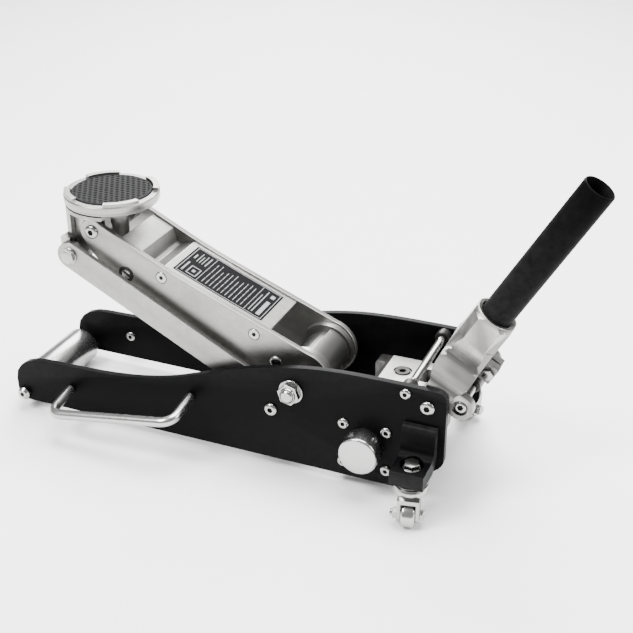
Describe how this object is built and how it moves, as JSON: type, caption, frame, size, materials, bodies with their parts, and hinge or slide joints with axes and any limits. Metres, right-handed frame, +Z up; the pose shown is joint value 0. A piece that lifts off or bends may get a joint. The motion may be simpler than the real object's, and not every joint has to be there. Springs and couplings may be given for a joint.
{
  "type": "hydraulic trolley jack",
  "caption": "Low-profile trolley jack: side plates on a roller and casters, parallelogram lift arm with a round padded saddle, hydraulic unit and pump handle.",
  "frame": {"origin": "middle of the jack's footprint, on the floor", "axes": "+X along the jack towards the handle, +Y to the far side, +Z up"},
  "size_m": [0.5869, 0.222, 0.3167],
  "materials": {
    "black_coat": "semi-gloss black powder coat",
    "cast_alloy": "fine brushed and cast",
    "polished_steel": "polished",
    "zinc": "bright zinc plate",
    "rubber": "matte",
    "dark_steel": "dark oxide",
    "tube_coat": "matte black"
  },
  "bodies": {
    "chassis": {"side_plate_near": "black_coat", "side_plate_far": "black_coat", "roller_axle": "zinc", "side_handle_near": "polished_steel", "side_handle_far": "polished_steel", "main_pivot_shaft": "zinc", "main_pivot_nut_near": "zinc", "main_pivot_nut_far": "zinc", "pivot_bush_near": "dark_steel", "pivot_bush_far": "dark_steel", "link_screw_near": "zinc", "link_screw_far": "zinc", "tie_rod": "zinc", "tie_rod_spacer_near": "dark_steel", "tie_rod_spacer_far": "dark_steel", "pump_block": "cast_alloy", "ram_cylinder": "polished_steel", "end_cap_near": "polished_steel", "end_cap_far": "polished_steel", "filler_plug": "dark_steel", "socket_screw_near": "zinc", "socket_screw_far": "zinc", "caster_bracket_near": "black_coat", "caster_bracket_far": "black_coat", "caster_race_near": "zinc", "caster_race_far": "zinc", "caster_bolt_near": "zinc", "caster_bolt_far": "zinc"},
    "front_roller": {"front_roller": "polished_steel"},
    "lift_arm": {"arm_plate_near": "cast_alloy", "arm_plate_far": "cast_alloy", "arm_top_plate": "cast_alloy", "arm_hub": "cast_alloy", "arm_pin": "zinc", "saddle_pivot_bolt_near": "zinc", "saddle_pivot_bolt_far": "zinc"},
    "saddle_carrier": {"saddle_bracket": "cast_alloy", "link_pin_near": "zinc", "link_pin_far": "zinc"},
    "saddle": {"saddle_cup": "cast_alloy", "saddle_pad": "rubber", "saddle_retainer": "zinc"},
    "link_near": {"link_bar_near": "cast_alloy"},
    "link_far": {"link_bar_far": "cast_alloy"},
    "ram": {"piston_rod": "polished_steel"},
    "socket": {"handle_socket": "cast_alloy", "clamp_bolt": "zinc", "clamp_nut": "zinc", "cam_roller": "zinc", "cross_pin": "zinc"},
    "handle": {"handle_tube": "tube_coat", "handle_knuckle": "zinc"},
    "plunger": {"pump_plunger": "polished_steel"},
    "release_valve": {"release_valve": "zinc"},
    "caster_near": {"caster_fork_near": "zinc", "caster_axle_near": "zinc"},
    "caster_far": {"caster_fork_far": "zinc", "caster_axle_far": "zinc"},
    "wheel_near": {"caster_wheel_near": "polished_steel"},
    "wheel_far": {"caster_wheel_far": "polished_steel"}
  },
  "joints": [
    {"name": "roller_spin", "type": "hinge", "parent": "chassis", "child": "front_roller", "pos_m": [-0.27414, 0, 0.0195], "axis": [0, 1, 0], "continuous": true},
    {"name": "lift", "type": "hinge", "parent": "chassis", "child": "lift_arm", "pos_m": [0.02936, 0, 0.091], "axis": [0, 1, 0], "range_deg": [-35.2, 45.3]},
    {"name": "carrier_level", "type": "hinge", "parent": "lift_arm", "child": "saddle_carrier", "pos_m": [-0.19062, 0, 0.20551], "axis": [0, 1, 0], "range_deg": [-45.5, 35.4]},
    {"name": "saddle_turn", "type": "hinge", "parent": "saddle_carrier", "child": "saddle", "pos_m": [-0.18822, 0, 0.22511], "axis": [0, 0, 1], "continuous": true},
    {"name": "link_near_swing", "type": "hinge", "parent": "chassis", "child": "link_near", "pos_m": [0.00836, -0.04595, 0.0665], "axis": [0, 1, 0], "range_deg": [-35.4, 45.5]},
    {"name": "link_far_swing", "type": "hinge", "parent": "chassis", "child": "link_far", "pos_m": [0.00836, 0.04595, 0.0665], "axis": [0, 1, 0], "range_deg": [-35.4, 45.5]},
    {"name": "ram_slide", "type": "slide", "parent": "chassis", "child": "ram", "axis": [-1, 0, 0], "range_m": [-0.0275, 0.0353]},
    {"name": "handle_pump", "type": "hinge", "parent": "chassis", "child": "socket", "pos_m": [0.16186, 0, 0.1045], "axis": [0, 1, 0], "range_deg": [-28, 45]},
    {"name": "handle_twist", "type": "hinge", "parent": "socket", "child": "handle", "pos_m": [0.16186, 0, 0.1045], "axis": [0.5015, 0, 0.8652], "range_deg": [-90, 90]},
    {"name": "plunger_slide", "type": "slide", "parent": "chassis", "child": "plunger", "axis": [-1, 0, 0], "range_m": [-0.0093, 0.0149]},
    {"name": "release_turn", "type": "hinge", "parent": "chassis", "child": "release_valve", "pos_m": [0.15986, 0, 0.068], "axis": [1, 0, 0], "range_deg": [-91, 91]},
    {"name": "caster_near_swivel", "type": "hinge", "parent": "chassis", "child": "caster_near", "pos_m": [0.15686, -0.0863, 0.037], "axis": [0, 0, 1], "continuous": true},
    {"name": "caster_far_swivel", "type": "hinge", "parent": "chassis", "child": "caster_far", "pos_m": [0.15686, 0.0863, 0.037], "axis": [0, 0, 1], "continuous": true},
    {"name": "wheel_near_roll", "type": "hinge", "parent": "caster_near", "child": "wheel_near", "pos_m": [0.15935, -0.09804, 0.0125], "axis": [-0.9781, -0.2079, 0], "continuous": true},
    {"name": "wheel_far_roll", "type": "hinge", "parent": "caster_far", "child": "wheel_far", "pos_m": [0.15935, 0.09804, 0.0125], "axis": [0.9781, -0.2079, 0], "continuous": true}
  ],
  "couplings": [
    {"joint": "carrier_level", "follows": "lift", "ratio": -1},
    {"joint": "link_near_swing", "follows": "lift", "ratio": 1},
    {"joint": "link_far_swing", "follows": "lift", "ratio": 1},
    {"joint": "ram_slide", "follows": "lift", "m_per_rad": 0.0442},
    {"joint": "plunger_slide", "follows": "handle_pump", "m_per_rad": 0.0187},
    {"joint": "release_turn", "follows": "handle_twist", "ratio": 1}
  ]
}
